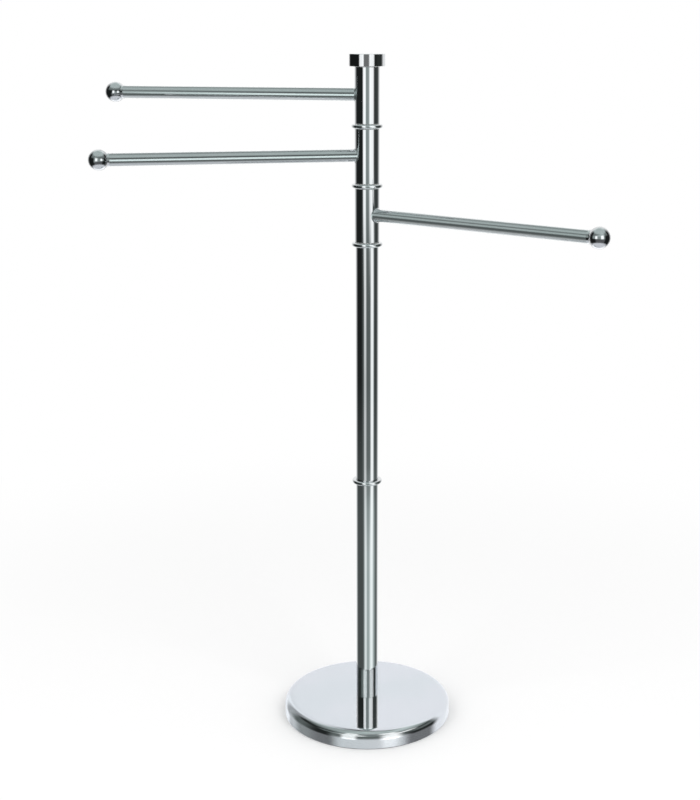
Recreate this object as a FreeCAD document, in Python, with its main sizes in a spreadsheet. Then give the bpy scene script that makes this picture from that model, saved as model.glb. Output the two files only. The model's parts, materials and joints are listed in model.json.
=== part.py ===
"""Freestanding towel stand: a weighted round base, a column in two lengths of tube and, at its
top, three bars with ball ends that swivel about the column, each on a sleeve of its own.

Millimetres, +Z up. The origin is the point of the floor on the column's axis. Every piece is
modelled about its own origin and stands at its place through its Placement. The sizes are cells
of the sheet, and the places up the column are sums of those cells.
"""
import FreeCAD, Part
import math
import os
import Sketcher

SIZES = [
    # base
    ("base_radius", 114.7, "outside of the base cover"),
    ("base_height", 25.5, "floor to the flat top of the cover"),
    ("cover_wall", 1.2, "sheet of the cover"),
    ("shoulder_radius", 12, "quarter round between the cover's top and its rim"),
    ("rim_lift", 1, "the pad stands this far below the rim"),
    ("pad_height", 2, "soft disc under the base"),
    ("pad_clearance", 0.4, "pad edge to the inside of the rim"),
    ("ballast_clearance", 3.5, "cast disc to the inside of the rim"),
    ("ballast_height", 13, "cast disc at its edge"),
    ("ballast_edge", 3, "rounded upper edge of the cast disc"),
    ("boss_radius", 36, "middle of the cast disc, up to the cover"),
    ("boss_fillet", 5, "hollow between the boss and the disc"),
    ("nut_recess_margin", 2.5, "washer edge to the recess of the boss"),
    ("nut_recess_cover", 2.5, "nut to the top of the boss"),
    ("head_set_back", 0.6, "bolt head inside the underside of the cast disc"),
    # fasteners
    ("thread_radius", 5, "all studs, bolts and rods"),
    ("thread_clearance", 0.05, "between a thread and its tapped hole"),
    ("bolt_hole_clearance", 0.3, "between a stud and a plain hole"),
    ("hex_width", 17, "nut and bolt head, across flats"),
    ("hex_clearance", 0.3, "bolt head to its recess, each side"),
    ("bolt_head_height", 6.4, "head of the base bolt"),
    ("bolt_engagement", 16, "base bolt in the foot plug"),
    ("washer_radius", 10.5, "washer of the base bolt"),
    ("washer_height", 2, "washer of the base bolt"),
    ("nut_height", 6, "nut of the base bolt"),
    ("stud_engagement", 16, "stud or rod in a tapped plug"),
    ("end_chamfer", 0.8, "ends of studs, bolts and plugs"),
    # column
    ("post_radius", 15, "outside of both posts"),
    ("post_wall", 1.2, "wall of both posts"),
    ("lower_post_length", 311.9, "base to the joint ring"),
    ("upper_post_length", 315.1, "joint ring to the lowest sleeve's ring"),
    ("tube_chamfer", 0.3, "outer edge of every tube end"),
    ("plug_length", 20, "tapped plugs in the ends of the posts"),
    ("press_clearance", 0.05, "plug, bush or spigot in its tube"),
    ("ring_radius", 20, "outside of the bead rings"),
    ("ring_height", 5.4, "thickness of the bead rings"),
    ("ring_land", 0.6, "straight part of the rings' rounded edge"),
    # swivelling sleeves
    ("sleeve_radius", 16, "outside of the sleeves"),
    ("sleeve_wall", 1.2, "wall of the sleeves"),
    ("sleeve_slot", 69.7, "room of the low and the middle sleeve between two rings"),
    ("top_slot", 71.1, "room of the top sleeve between its ring and the cap"),
    ("bush_length", 14, "bush inside its sleeve"),
    ("bush_rim", 2.2, "outer wall of a bush"),
    ("bush_hub", 2.6, "inner wall of a bush, round the rod"),
    ("bush_web", 2.4, "closed end of a bush"),
    ("bush_rib", 1.6, "ribs between hub and rim"),
    ("flange_height", 0.5, "flange of a bush, over the sleeve's end"),
    ("flange_set_back", 0.5, "flange edge inside the sleeve's outside"),
    ("running_clearance", 0.05, "bush on the rod, radial"),
    ("running_gap", 0.1, "bush flange to the ring or cap"),
    ("cap_radius", 22.9, "outside of the cap"),
    ("cap_height", 15.4, "thickness of the cap"),
    ("cap_round", 0.8, "rounded edges of the cap"),
    ("cap_thread_depth", 10, "tapped blind hole of the cap"),
    ("spring_radius", 10, "outside of the disc spring"),
    ("spring_sheet", 0.7, "thickness of the disc spring"),
    ("spring_rise", 0.7, "height of the disc spring's cone"),
    ("spring_room", 0.05, "disc spring to the recess of the cap"),
    ("recess_margin", 1, "disc spring edge to the recess of the cap"),
    # arms
    ("bar_radius", 8, "outside of the bars"),
    ("bar_wall", 1, "wall of the bars"),
    ("bar_offset", 0.8, "bar axis above the middle of its sleeve"),
    ("ball_reach", 336.2, "column axis to the middle of the ball"),
    ("ball_radius", 13, "ball at the end of a bar"),
    ("collar_length", 3, "collar between ball and bar"),
    ("collar_rise", 0.3, "collar over the bar"),
    ("spigot_length", 16, "spigot of the ball in the bar"),
    ("root_fillet", 2.2, "hollow of the weld between bar and sleeve"),
    ("root_gap", 0.05, "coped end of the bar to the sleeve"),
    # where the arms stand at rest, turned from +X towards +Y
    ("low_angle", -37.6, "degrees"),
    ("middle_angle", 190.7, "degrees"),
    ("top_angle", 167.9, "degrees"),
]
RIB_COUNT = 6
NEAR = 1e-3  # two places closer than this are the same

doc = FreeCAD.newDocument("towel_stand")
sheet = doc.addObject("Spreadsheet::Sheet", "sizes")
for row, (alias, value, meaning) in enumerate(SIZES, 1):
    sheet.set("A%d" % row, alias)
    sheet.set("B%d" % row, str(value))
    sheet.setAlias("B%d" % row, alias)
    sheet.set("C%d" % row, meaning)
doc.recompute()

# Places up the column, as sums of cells.
COVER_UNDERSIDE = "sizes.base_height - sizes.cover_wall"
JOINT_RING_Z = "sizes.base_height + sizes.lower_post_length"
UPPER_POST_Z = JOINT_RING_Z + " + sizes.ring_height"
LOW_RING_Z = UPPER_POST_Z + " + sizes.upper_post_length"
LOW_SLOT_Z = LOW_RING_Z + " + sizes.ring_height"
MIDDLE_RING_Z = LOW_SLOT_Z + " + sizes.sleeve_slot"
MIDDLE_SLOT_Z = MIDDLE_RING_Z + " + sizes.ring_height"
TOP_RING_Z = MIDDLE_SLOT_Z + " + sizes.sleeve_slot"
TOP_SLOT_Z = TOP_RING_Z + " + sizes.ring_height"
CAP_Z = TOP_SLOT_Z + " + sizes.top_slot"

# Sizes that more than one piece needs.
POST_BORE = "sizes.post_radius - sizes.post_wall"
SLEEVE_BORE = "sizes.sleeve_radius - sizes.sleeve_wall"
BAR_BORE = "sizes.bar_radius - sizes.bar_wall"
TAPPED_RADIUS = "sizes.thread_radius + sizes.thread_clearance"
CLEAR_RADIUS = "sizes.thread_radius + sizes.bolt_hole_clearance"
COVER_INSIDE = "sizes.base_radius - sizes.cover_wall"
BALLAST_RADIUS = COVER_INSIDE + " - sizes.ballast_clearance"
BALLAST_RISE = "%s - sizes.pad_height" % COVER_UNDERSIDE
NUT_RECESS_DEPTH = "(sizes.washer_height + sizes.nut_height + sizes.nut_recess_cover)"
HEAD_RECESS_DEPTH = "(sizes.bolt_head_height + sizes.head_set_back)"
FLANGE_STACK = "sizes.flange_height + sizes.running_gap"
COLLAR_RADIUS = "sizes.bar_radius + sizes.collar_rise"
BALL_FLAT = "sqrt(sizes.ball_radius ^ 2 - (%s) ^ 2)" % COLLAR_RADIUS
SPRING_HEIGHT = "sizes.spring_sheet + sizes.spring_rise"

sub_parts = []


def size(expression):
    """The value of an expression on the sheet, in millimetres or degrees."""
    result = sheet.evalExpression(expression)
    return float(getattr(result, "Value", result))


# ---------------------------------------------------------------- building blocks

def new_body(label, height="0", angle="0"):
    """A body named after its piece, raised to a height and turned about the column."""
    body = doc.addObject("PartDesign::Body", label)
    body.Label = label
    stand(body, height, angle)
    sub_parts.append(body)
    return body


def stand(piece, height, angle="0"):
    """Binds a piece's place: its height on the column and its turn about +Z."""
    piece.setExpression(".Placement.Base.z", height)
    piece.setExpression(".Placement.Rotation.Angle", angle)


def new_sketch(body, name, role="XY_Plane", offset="0"):
    """A sketch on one of the body's own origin planes, moved along the plane's normal."""
    sketch = body.newObject("Sketcher::SketchObject", name)
    plane = next(item for item in body.Origin.OriginFeatures if item.Role == role)
    sketch.AttachmentSupport = [(plane, "")]
    sketch.MapMode = "FlatFace"
    sketch.setExpression(".AttachmentOffset.Base.z", offset)
    return sketch


def bind(sketch, constraint, name, expression):
    """Adds a dimension to a sketch and ties it to the sheet."""
    index = sketch.addConstraint(constraint)
    sketch.renameConstraint(index, name)
    sketch.setExpression("Constraints." + name, expression)


def circle(sketch, name, radius):
    """A circle about the sketch's origin."""
    start = size(radius)
    index = sketch.addGeometry(Part.Circle(FreeCAD.Vector(), FreeCAD.Vector(0, 0, 1), start))
    sketch.addConstraint(Sketcher.Constraint("Coincident", index, 3, -1, 1))
    bind(sketch, Sketcher.Constraint("Radius", index, start), name, radius)


def hexagon(sketch, name, width):
    """A regular hexagon about the sketch's origin, with two flats level: width is across flats."""
    corner = size(width) / math.sqrt(3)
    points = []
    for step in range(6):
        turn = math.radians(60 * step)
        points.append(FreeCAD.Vector(corner * math.cos(turn), corner * math.sin(turn), 0))
    rim = sketch.addGeometry(Part.Circle(FreeCAD.Vector(), FreeCAD.Vector(0, 0, 1), corner), True)
    sketch.addConstraint(Sketcher.Constraint("Coincident", rim, 3, -1, 1))
    bind(sketch, Sketcher.Constraint("Radius", rim, corner), name, "(%s) / sqrt(3)" % width)
    lines = []
    for step in range(6):
        lines.append(sketch.addGeometry(Part.LineSegment(points[step], points[(step + 1) % 6])))
    for step in range(6):
        following = lines[(step + 1) % 6]
        sketch.addConstraint(Sketcher.Constraint("Coincident", lines[step], 2, following, 1))
        sketch.addConstraint(Sketcher.Constraint("PointOnObject", lines[step], 1, rim))
    for step in range(1, 6):
        sketch.addConstraint(Sketcher.Constraint("Equal", lines[0], lines[step]))
    sketch.addConstraint(Sketcher.Constraint("PointOnObject", lines[0], 1, -1))


def outline(sketch, corners):
    """A closed outline of straight lines whose corners are pairs of expressions (x, y)."""
    points = [FreeCAD.Vector(size(x), size(y), 0) for x, y in corners]
    count = len(points)
    lines = []
    for step in range(count):
        lines.append(sketch.addGeometry(Part.LineSegment(points[step], points[(step + 1) % count])))
    for step, (x, y) in enumerate(corners):
        following = lines[(step + 1) % count]
        sketch.addConstraint(Sketcher.Constraint("Coincident", lines[step], 2, following, 1))
        for kind, axis, value, text in (("DistanceX", "x", points[step].x, x),
                                        ("DistanceY", "y", points[step].y, y)):
            constraint = Sketcher.Constraint(kind, -1, 1, lines[step], 1, value)
            bind(sketch, constraint, "%s%d" % (axis, step), text)


def pad(body, sketch, name, length, both_ways=False):
    """Adds the sketch's area, drawn out along its normal."""
    feature = body.newObject("PartDesign::Pad", name)
    feature.Profile = sketch
    feature.setExpression("Length", length)
    if both_ways:
        feature.SideType = "Symmetric"
    return feature


def pocket(body, sketch, name, depth, along_normal=True):
    """Cuts the sketch's area out of the body."""
    feature = body.newObject("PartDesign::Pocket", name)
    feature.Profile = sketch
    feature.Reversed = along_normal
    feature.setExpression("Length", depth)
    return feature


def through(body, sketch, name):
    """Cuts the sketch's area out of the whole body, both ways."""
    feature = body.newObject("PartDesign::Pocket", name)
    feature.Profile = sketch
    feature.SideType = "Symmetric"
    feature.Type = "ThroughAll"
    return feature


def edges(feature, wanted):
    """The names of a feature's edges for which wanted(edge) holds."""
    doc.recompute()
    names = []
    for index, edge in enumerate(feature.Shape.Edges, 1):
        if wanted(edge):
            names.append("Edge%d" % index)
    return names


def is_ring(edge, radius, height=None):
    """Whether an edge is a full circle about Z of that radius and, if given, at that height."""
    curve = edge.Curve
    if not isinstance(curve, Part.Circle) or abs(abs(curve.Axis.z) - 1) > NEAR:
        return False
    if abs(curve.Radius - radius) > NEAR or math.hypot(curve.Center.x, curve.Center.y) > NEAR:
        return False
    return height is None or abs(curve.Center.z - height) < NEAR


def dress(body, kind, base, names, name, amount):
    """Rounds or chamfers the named edges of a feature."""
    feature = body.newObject("PartDesign::" + kind, name)
    feature.Base = (base, names)
    feature.setExpression("Radius" if kind == "Fillet" else "Size", amount)
    return feature


def tube(label, outer, bore, length, height, angle="0"):
    """A plain tube with both outer edges broken."""
    body = new_body(label, height, angle)
    section = new_sketch(body, label + "_section")
    circle(section, "outside", outer)
    circle(section, "bore", bore)
    wall = pad(body, section, label + "_wall", length)
    ends = edges(wall, lambda edge: is_ring(edge, size(outer)))
    dress(body, "Chamfer", wall, ends, label + "_ends", "sizes.tube_chamfer")


def rod(label, length, height):
    """A stud or rod: a bar of thread with chamfered ends."""
    body = new_body(label, height)
    section = new_sketch(body, label + "_section")
    circle(section, "thread", "sizes.thread_radius")
    shank = pad(body, section, label + "_shank", length)
    ends = edges(shank, lambda edge: is_ring(edge, size("sizes.thread_radius")))
    dress(body, "Chamfer", shank, ends, label + "_ends", "sizes.end_chamfer")


def plug(label, height):
    """A tapped plug, pressed into the end of a post."""
    outer = "%s - sizes.press_clearance" % POST_BORE
    body = new_body(label, height)
    section = new_sketch(body, label + "_section")
    circle(section, "outside", outer)
    circle(section, "tapped_hole", TAPPED_RADIUS)
    core = pad(body, section, label + "_core", "sizes.plug_length")
    ends = edges(core, lambda edge: is_ring(edge, size(outer)))
    dress(body, "Chamfer", core, ends, label + "_ends", "sizes.end_chamfer")


def bead_ring(label, height):
    """A flat ring with a half-round edge, through which a stud or the pivot rod passes."""
    body = new_body(label, height)
    section = new_sketch(body, label + "_section")
    circle(section, "outside", "sizes.ring_radius")
    circle(section, "bore", TAPPED_RADIUS)
    disc = pad(body, section, label + "_disc", "sizes.ring_height")
    rim = edges(disc, lambda edge: is_ring(edge, size("sizes.ring_radius")))
    dress(body, "Fillet", disc, rim, label + "_bead", "(sizes.ring_height - sizes.ring_land) / 2")


# ---------------------------------------------------------------- base

def base_cover():
    """A pressed dish: a disc whose upper edge is rounded, hollowed from below to the sheet's
    thickness, with a hole in the middle for the bolt."""
    body = new_body("base_cover", "sizes.rim_lift")
    section = new_sketch(body, "cover_section")
    circle(section, "outside", "sizes.base_radius")
    disc = pad(body, section, "cover_disc", "sizes.base_height - sizes.rim_lift")
    top = size("sizes.base_height - sizes.rim_lift")
    upper_edge = edges(disc, lambda edge: is_ring(edge, size("sizes.base_radius"), top))
    shoulder = dress(body, "Fillet", disc, upper_edge, "cover_shoulder", "sizes.shoulder_radius")
    doc.recompute()
    underside = []
    for index, face in enumerate(shoulder.Shape.Faces, 1):
        if face.BoundBox.ZMax < NEAR:
            underside.append("Face%d" % index)
    shell = body.newObject("PartDesign::Thickness", "cover_shell")
    shell.Base = (shoulder, underside)
    shell.Reversed = True
    shell.setExpression("Value", "sizes.cover_wall")
    hole = new_sketch(body, "cover_hole_section", offset="sizes.base_height - sizes.rim_lift")
    circle(hole, "hole", CLEAR_RADIUS)
    pocket(body, hole, "cover_hole", "2 * sizes.cover_wall", along_normal=False)


def ballast_disc():
    """The cast weight: a disc with a boss that carries the cover, a recess for washer and nut
    in the boss, and a hexagonal recess underneath that keeps the bolt's head from turning."""
    body = new_body("ballast_disc", "sizes.pad_height")
    section = new_sketch(body, "ballast_section")
    circle(section, "outside", BALLAST_RADIUS)
    pad(body, section, "ballast_plate", "sizes.ballast_height")
    boss_section = new_sketch(body, "boss_section")
    circle(boss_section, "boss", "sizes.boss_radius")
    boss = pad(body, boss_section, "ballast_boss", BALLAST_RISE)
    plate_top = size("sizes.ballast_height")
    foot = edges(boss, lambda edge: is_ring(edge, size("sizes.boss_radius"), plate_top))
    hollow = dress(body, "Fillet", boss, foot, "boss_foot", "sizes.boss_fillet")
    rim = edges(hollow, lambda edge: is_ring(edge, size(BALLAST_RADIUS), plate_top))
    dress(body, "Fillet", hollow, rim, "ballast_rim", "sizes.ballast_edge")
    hole_section = new_sketch(body, "ballast_hole_section")
    circle(hole_section, "hole", CLEAR_RADIUS)
    pocket(body, hole_section, "ballast_hole", BALLAST_RISE)
    head_section = new_sketch(body, "head_recess_section")
    hexagon(head_section, "corners", "sizes.hex_width + 2 * sizes.hex_clearance")
    pocket(body, head_section, "head_recess", HEAD_RECESS_DEPTH)
    nut_section = new_sketch(body, "nut_recess_section", offset=BALLAST_RISE)
    circle(nut_section, "recess", "sizes.washer_radius + sizes.nut_recess_margin")
    pocket(body, nut_section, "nut_recess", NUT_RECESS_DEPTH, along_normal=False)


def base_pad():
    """The soft disc under the base, inside the rim."""
    body = new_body("base_pad")
    section = new_sketch(body, "pad_section")
    circle(section, "outside", COVER_INSIDE + " - sizes.pad_clearance")
    pad(body, section, "pad_disc", "sizes.pad_height")


def base_fasteners():
    """The bolt that stands up out of the base, with the washer and nut that lock it to the
    ballast. Its head bears on the ceiling of the hexagonal recess."""
    head_top = "sizes.pad_height + " + HEAD_RECESS_DEPTH
    body = new_body("base_bolt", head_top + " - sizes.bolt_head_height")
    head_section = new_sketch(body, "bolt_head_section")
    hexagon(head_section, "corners", "sizes.hex_width")
    pad(body, head_section, "bolt_head", "sizes.bolt_head_height")
    shank_section = new_sketch(body, "bolt_shank_section", offset="sizes.bolt_head_height")
    circle(shank_section, "thread", "sizes.thread_radius")
    length = "sizes.base_height + sizes.bolt_engagement - (%s)" % head_top
    shank = pad(body, shank_section, "bolt_shank", length)
    tip_height = size("sizes.bolt_head_height + " + length)
    tip = edges(shank, lambda edge: is_ring(edge, size("sizes.thread_radius"), tip_height))
    dress(body, "Chamfer", shank, tip, "bolt_tip", "sizes.end_chamfer")

    seat = "%s - %s" % (COVER_UNDERSIDE, NUT_RECESS_DEPTH)
    body = new_body("base_washer", seat)
    section = new_sketch(body, "washer_section")
    circle(section, "outside", "sizes.washer_radius")
    circle(section, "hole", CLEAR_RADIUS)
    pad(body, section, "washer_disc", "sizes.washer_height")

    body = new_body("base_nut", seat + " + sizes.washer_height")
    section = new_sketch(body, "nut_section")
    hexagon(section, "corners", "sizes.hex_width")
    circle(section, "tapped_hole", TAPPED_RADIUS)
    pad(body, section, "nut_body", "sizes.nut_height")


# ---------------------------------------------------------------- column

def column():
    """Two posts with a tapped plug in each end, joined by a stud through a bead ring."""
    tube("lower_post", "sizes.post_radius", POST_BORE, "sizes.lower_post_length",
         "sizes.base_height")
    plug("lower_post_foot_plug", "sizes.base_height")
    plug("lower_post_head_plug", JOINT_RING_Z + " - sizes.plug_length")
    bead_ring("joint_ring", JOINT_RING_Z)
    rod("joint_stud", "sizes.ring_height + 2 * sizes.stud_engagement",
        JOINT_RING_Z + " - sizes.stud_engagement")
    tube("upper_post", "sizes.post_radius", POST_BORE, "sizes.upper_post_length", UPPER_POST_Z)
    plug("upper_post_foot_plug", UPPER_POST_Z)
    plug("upper_post_head_plug", LOW_RING_Z + " - sizes.plug_length")


def pivot():
    """The rod on which the arms turn, the rings between their sleeves, and the cap that is
    screwed down on a disc spring to give the arms their friction."""
    reach = "%s - (%s) + sizes.stud_engagement + sizes.cap_thread_depth - sizes.end_chamfer"
    rod("pivot_rod", reach % (CAP_Z, LOW_RING_Z), LOW_RING_Z + " - sizes.stud_engagement")
    bead_ring("low_spacer_ring", LOW_RING_Z)
    bead_ring("middle_spacer_ring", MIDDLE_RING_Z)
    bead_ring("top_spacer_ring", TOP_RING_Z)

    body = new_body("cap_spring_washer", CAP_Z)
    section = new_sketch(body, "spring_section", "XZ_Plane")
    outline(section, [(CLEAR_RADIUS, "0"), ("sizes.spring_radius", "sizes.spring_rise"),
                      ("sizes.spring_radius", SPRING_HEIGHT), (CLEAR_RADIUS, "sizes.spring_sheet")])
    spring = body.newObject("PartDesign::Revolution", "spring_cone")
    spring.Profile = section
    spring.ReferenceAxis = (section, ["V_Axis"])
    spring.Angle = 360

    body = new_body("top_cap", CAP_Z)
    section = new_sketch(body, "cap_section")
    circle(section, "outside", "sizes.cap_radius")
    disc = pad(body, section, "cap_disc", "sizes.cap_height")
    rims = edges(disc, lambda edge: is_ring(edge, size("sizes.cap_radius")))
    dress(body, "Fillet", disc, rims, "cap_edges", "sizes.cap_round")
    recess_section = new_sketch(body, "cap_recess_section")
    circle(recess_section, "recess", "sizes.spring_radius + sizes.recess_margin")
    pocket(body, recess_section, "cap_recess", "%s + sizes.spring_room" % SPRING_HEIGHT)
    hole_section = new_sketch(body, "cap_hole_section")
    circle(hole_section, "tapped_hole", TAPPED_RADIUS)
    pocket(body, hole_section, "cap_hole", "sizes.cap_thread_depth")


# ---------------------------------------------------------------- arms

def bush(label, height, angle, upside_down):
    """A moulded bush: a hub that runs on the rod, a rim that is pressed into the sleeve, ribs
    between them, and a closed end whose thin flange lies over the sleeve's end. It is drawn
    with the flange at the bottom, and the upper bush of a sleeve is turned over."""
    body = new_body(label, height, angle)
    outer = "%s - sizes.press_clearance" % SLEEVE_BORE
    hub_bore = "sizes.thread_radius + sizes.running_clearance"
    sign = "-1" if upside_down else "1"

    def level(sketch_name, at):
        """A sketch at a distance from the flange's face, measured into the sleeve."""
        return new_sketch(body, "%s_%s" % (label, sketch_name), offset="%s * (%s)" % (sign, at))

    def drawn(feature):
        """Turns a feature's direction into the sleeve."""
        feature.Reversed = upside_down != (feature.TypeId == "PartDesign::Pocket")
        return feature

    flange_section = level("flange_section", "0")
    circle(flange_section, "edge", "sizes.sleeve_radius - sizes.flange_set_back")
    drawn(pad(body, flange_section, label + "_flange", "sizes.flange_height"))
    core_section = level("core_section", "sizes.flange_height")
    circle(core_section, "outside", outer)
    drawn(pad(body, core_section, label + "_core", "sizes.bush_length"))
    hollow_section = level("hollow_section", "sizes.flange_height + sizes.bush_web")
    circle(hollow_section, "rim", "%s - sizes.bush_rim" % outer)
    circle(hollow_section, "hub", "%s + sizes.bush_hub" % hub_bore)
    drawn(pocket(body, hollow_section, label + "_hollow", "sizes.bush_length - sizes.bush_web"))
    rib_section = level("rib_section", "sizes.flange_height + sizes.bush_web / 2")
    inner = "%s + sizes.bush_hub / 2" % hub_bore
    far = "%s - sizes.bush_rim / 2" % outer
    outline(rib_section, [(inner, "-sizes.bush_rib / 2"), (far, "-sizes.bush_rib / 2"),
                          (far, "sizes.bush_rib / 2"), (inner, "sizes.bush_rib / 2")])
    rib = drawn(pad(body, rib_section, label + "_rib", "sizes.bush_length - sizes.bush_web"))
    ribs = body.newObject("PartDesign::PolarPattern", label + "_ribs")
    ribs.Originals = [rib]
    ribs.Axis = (rib_section, ["N_Axis"])
    ribs.Angle = 360
    ribs.Occurrences = RIB_COUNT
    body.Tip = ribs
    bore_section = level("bore_section", "0")
    circle(bore_section, "bore", hub_bore)
    through(body, bore_section, label + "_bore")


def arm_bar(label, height, angle):
    """A bar whose root is coped to the sleeve and flares into it: the bar is drawn out of a
    cylinder of the sleeve's size, the edge between the two is filled with a hollow round, and
    the cylinder is then cut away again together with the bore of the bar."""
    body = new_body(label, height, angle)
    wall_section = new_sketch(body, label + "_sleeve_section")
    circle(wall_section, "sleeve", "sizes.sleeve_radius")
    pad(body, wall_section, label + "_sleeve_form",
        "2 * sizes.bar_radius + 6 * sizes.root_fillet", both_ways=True)
    bar_section = new_sketch(body, label + "_bar_section", "YZ_Plane")
    circle(bar_section, "outside", "sizes.bar_radius")
    length = "sizes.ball_reach - %s - sizes.collar_length" % BALL_FLAT
    bar = pad(body, bar_section, label + "_bar", length)

    def at_root(edge):
        """Whether the middle of an edge lies on the bar and on the cylinder."""
        middle = edge.valueAt((edge.FirstParameter + edge.LastParameter) / 2)
        off_sleeve = math.hypot(middle.x, middle.y) - size("sizes.sleeve_radius")
        off_bar = math.hypot(middle.y, middle.z) - size("sizes.bar_radius")
        return middle.x > 0 and abs(off_sleeve) < NEAR and abs(off_bar) < NEAR

    dress(body, "Fillet", bar, edges(bar, at_root), label + "_root", "sizes.root_fillet")
    cope_section = new_sketch(body, label + "_cope_section")
    circle(cope_section, "sleeve", "sizes.sleeve_radius + sizes.root_gap")
    through(body, cope_section, label + "_cope")
    bore_section = new_sketch(body, label + "_bore_section", "YZ_Plane")
    circle(bore_section, "bore", BAR_BORE)
    pocket(body, bore_section, label + "_bore", length)


def arm_ball(label, height, angle):
    """The ball end: a ball and its collar, with a spigot that is pressed into the bar."""
    ball = doc.addObject("Part::Sphere", label + "_sphere")
    ball.setExpression("Radius", "sizes.ball_radius")
    ball.setExpression(".Placement.Base.x", "sizes.ball_reach")
    collar = doc.addObject("Part::Cylinder", label + "_collar")
    spigot = doc.addObject("Part::Cylinder", label + "_spigot")
    spans = ((collar, COLLAR_RADIUS, "sizes.collar_length"),
             (spigot, "%s - sizes.press_clearance" % BAR_BORE,
              "sizes.collar_length + sizes.spigot_length"))
    for piece, radius, length in spans:
        piece.Placement.Rotation = FreeCAD.Rotation(FreeCAD.Vector(0, 1, 0), -90)
        piece.setExpression("Radius", radius)
        piece.setExpression("Height", "%s + %s" % (length, BALL_FLAT))
        piece.setExpression(".Placement.Base.x", "sizes.ball_reach")
    whole = doc.addObject("Part::MultiFuse", label)
    whole.Label = label
    whole.Shapes = [ball, collar, spigot]
    whole.Refine = True
    stand(whole, height, angle)
    sub_parts.append(whole)


def arm(name, slot_height, slot_length, angle):
    """One arm: a sleeve with a bush in each end, its bar and its ball."""
    sleeve_length = "%s - 2 * (%s)" % (slot_length, FLANGE_STACK)
    tube(name + "_arm_sleeve", "sizes.sleeve_radius", SLEEVE_BORE, sleeve_length,
         "%s + %s" % (slot_height, FLANGE_STACK), angle)
    bush(name + "_lower_bush", slot_height + " + sizes.running_gap", angle, False)
    bush(name + "_upper_bush", "%s + %s - sizes.running_gap" % (slot_height, slot_length),
         angle, True)
    bar_height = "%s + %s / 2 + sizes.bar_offset" % (slot_height, slot_length)
    arm_bar(name + "_arm_bar", bar_height, angle)
    arm_ball(name + "_arm_ball", bar_height, angle)


base_cover()
ballast_disc()
base_pad()
base_fasteners()
column()
pivot()
arm("low", LOW_SLOT_Z, "sizes.sleeve_slot", "sizes.low_angle")
arm("middle", MIDDLE_SLOT_Z, "sizes.sleeve_slot", "sizes.middle_angle")
arm("top", TOP_SLOT_Z, "sizes.top_slot", "sizes.top_angle")
doc.recompute()

# ---------------------------------------------------------------- checks and export

for item in doc.Objects:
    if "Invalid" in item.State or "Error" in item.State:
        raise SystemExit("failed: %s %s" % (item.Name, item.State))
for piece in sub_parts:
    shape = piece.Shape
    if shape.isNull() or not shape.isValid():
        raise SystemExit("bad shape: %s" % piece.Label)
    if len(shape.Solids) != 1:
        raise SystemExit("%s is %d solids" % (piece.Label, len(shape.Solids)))

os.makedirs("parts", exist_ok=True)
for piece in sub_parts:
    piece.Shape.exportStep("parts/%s.step" % piece.Label)
    box = piece.Shape.BoundBox
    print("%-22s volume %10.1f  x %7.1f %7.1f  y %7.1f %7.1f  z %7.1f %7.1f" % (
        piece.Label, piece.Shape.Volume, box.XMin, box.XMax, box.YMin, box.YMax,
        box.ZMin, box.ZMax))
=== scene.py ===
"""Looks of the freestanding towel stand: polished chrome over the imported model.

Metres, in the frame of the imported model. The chrome pieces are surfaces worked out again from
the frame's sizes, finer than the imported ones, because a mirror shows every facet. The hidden
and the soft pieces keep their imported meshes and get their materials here.
"""
import json
import math

import bmesh
import bpy
import numpy as np
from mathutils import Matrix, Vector

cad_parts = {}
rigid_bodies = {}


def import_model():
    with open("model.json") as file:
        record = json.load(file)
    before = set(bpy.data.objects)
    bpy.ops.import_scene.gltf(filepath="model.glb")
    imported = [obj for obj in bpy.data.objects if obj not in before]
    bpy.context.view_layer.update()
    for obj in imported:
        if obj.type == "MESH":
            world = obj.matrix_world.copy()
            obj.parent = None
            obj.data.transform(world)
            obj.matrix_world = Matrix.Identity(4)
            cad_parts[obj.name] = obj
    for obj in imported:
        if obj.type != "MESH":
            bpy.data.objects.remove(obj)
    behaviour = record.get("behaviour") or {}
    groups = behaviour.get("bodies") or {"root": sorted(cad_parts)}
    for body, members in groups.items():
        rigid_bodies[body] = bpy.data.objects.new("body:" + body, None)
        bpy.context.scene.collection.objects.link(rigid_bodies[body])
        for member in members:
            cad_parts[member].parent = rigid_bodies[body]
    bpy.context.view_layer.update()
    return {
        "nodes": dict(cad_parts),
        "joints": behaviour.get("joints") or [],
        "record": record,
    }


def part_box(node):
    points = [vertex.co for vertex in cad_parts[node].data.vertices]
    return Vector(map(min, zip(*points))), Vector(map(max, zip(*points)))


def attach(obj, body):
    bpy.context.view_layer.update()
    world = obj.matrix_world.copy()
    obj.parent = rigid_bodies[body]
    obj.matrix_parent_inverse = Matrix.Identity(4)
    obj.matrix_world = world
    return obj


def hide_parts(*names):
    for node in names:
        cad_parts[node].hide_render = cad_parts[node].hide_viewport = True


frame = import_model()
MM = 0.001

# ---------------------------------------------------------------- sizes

SEGMENTS = 192              # faces round a tube, bar, ring or ball
ARC_STEPS = 8               # rows in a rounded corner
ROOT_STEPS = 16             # rows in the hollow of a bar's root
BALL_STEPS = 48             # rows from the tip of a ball to its collar
SUPPORT = 0.15 * MM         # narrow row beside an arc, so that the straight part stays flat
SHARP_ANGLE = 30            # degrees between two faces from which their edge is sharp
POLE_REACH = 1e-4 * MM      # points of a pole lie nearer to each other than this

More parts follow.
